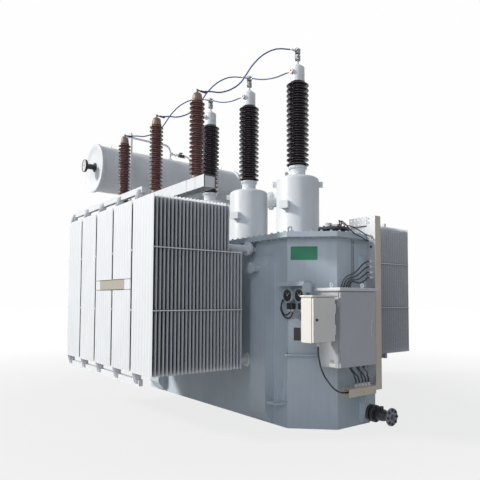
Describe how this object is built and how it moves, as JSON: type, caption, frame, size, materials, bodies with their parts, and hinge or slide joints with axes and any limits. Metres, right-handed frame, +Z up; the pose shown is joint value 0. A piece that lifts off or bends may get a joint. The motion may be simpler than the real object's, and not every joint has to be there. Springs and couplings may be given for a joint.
{
  "type": "three-phase oil-filled power transformer",
  "caption": "Free-standing oil-filled power transformer with finned radiator banks, tall bushings on turrets, an oil conservator drum and wall cabinets.",
  "frame": {"origin": "middle of the tank's flat base, at ground level", "axes": "+X along the tank towards the end with the control cabinets, +Y across it, +Z up"},
  "size_m": [4.9103, 4.39, 4.8012],
  "materials": {
    "tank_enamel": "pale blue-grey enamel, semi-gloss",
    "radiator_enamel": "pale grey enamel, semi-gloss",
    "dark_porcelain": "dark glazed porcelain, glossy",
    "brown_porcelain": "brown glazed porcelain, glossy",
    "cast_aluminium": "cast, matt",
    "grey_powder_coat": "powder coat, satin",
    "cream_powder_coat": "powder coat, satin",
    "galvanised_steel": "galvanised",
    "black_iron": "painted black",
    "beige_enamel": "beige enamel, semi-gloss",
    "blue_sheath": "blue cable sheath, matt"
  },
  "bodies": {
    "transformer": {"tank_body": "tank_enamel", "tank_cover": "tank_enamel", "radiator_left_1": "radiator_enamel", "radiator_left_2": "radiator_enamel", "radiator_left_3": "radiator_enamel", "radiator_left_4": "radiator_enamel", "radiator_left_5": "radiator_enamel", "radiator_right_1": "radiator_enamel", "radiator_right_2": "radiator_enamel", "radiator_right_3": "radiator_enamel", "radiator_right_4": "radiator_enamel", "radiator_right_5": "radiator_enamel", "radiator_rail_left_top": "radiator_enamel", "radiator_rail_left_bottom": "radiator_enamel", "radiator_rail_right_top": "radiator_enamel", "radiator_rail_right_bottom": "radiator_enamel", "hv_turret_a": "tank_enamel", "hv_turret_b": "tank_enamel", "hv_turret_c": "tank_enamel", "hv_bushing_a": "dark_porcelain", "hv_bushing_b": "dark_porcelain", "hv_bushing_c": "dark_porcelain", "hv_head_a": "cast_aluminium", "hv_head_b": "cast_aluminium", "hv_head_c": "cast_aluminium", "neutral_pedestal": "tank_enamel", "neutral_bushing": "dark_porcelain", "neutral_head": "cast_aluminium", "arrester_beam": "radiator_enamel", "arrester_bracket_1": "radiator_enamel", "arrester_bracket_2": "radiator_enamel", "surge_arrester_1": "brown_porcelain", "surge_arrester_2": "brown_porcelain", "surge_arrester_3": "brown_porcelain", "conservator_drum": "tank_enamel", "conservator_end_left": "tank_enamel", "conservator_end_right": "tank_enamel", "conservator_frame_1": "tank_enamel", "conservator_frame_2": "tank_enamel", "oil_gauge": "black_iron", "control_cabinet": "grey_powder_coat", "control_cabinet_lid": "grey_powder_coat", "small_cabinet": "cream_powder_coat", "cable_riser": "galvanised_steel", "drain_valve": "black_iron", "breather": "tank_enamel", "dial_hood": "tank_enamel", "instrument_box": "tank_enamel", "cover_hatch": "black_iron", "gland_rack": "beige_enamel", "line_lead_1": "blue_sheath", "line_lead_2": "blue_sheath", "line_lead_3": "blue_sheath", "line_lead_4": "blue_sheath", "line_lead_5": "blue_sheath"},
    "control_door": {"control_cabinet_door": "grey_powder_coat"},
    "small_door": {"small_cabinet_door": "cream_powder_coat"}
  },
  "joints": [
    {"name": "control_door_hinge", "type": "hinge", "parent": "transformer", "child": "control_door", "pos_m": [2.47, -0.649, 1.15], "axis": [0, 0, -1], "range_deg": [0, 90]},
    {"name": "small_door_hinge", "type": "hinge", "parent": "transformer", "child": "small_door", "pos_m": [2.47, -0.701, 1.2575], "axis": [0, 0, 1], "range_deg": [0, 90]}
  ]
}
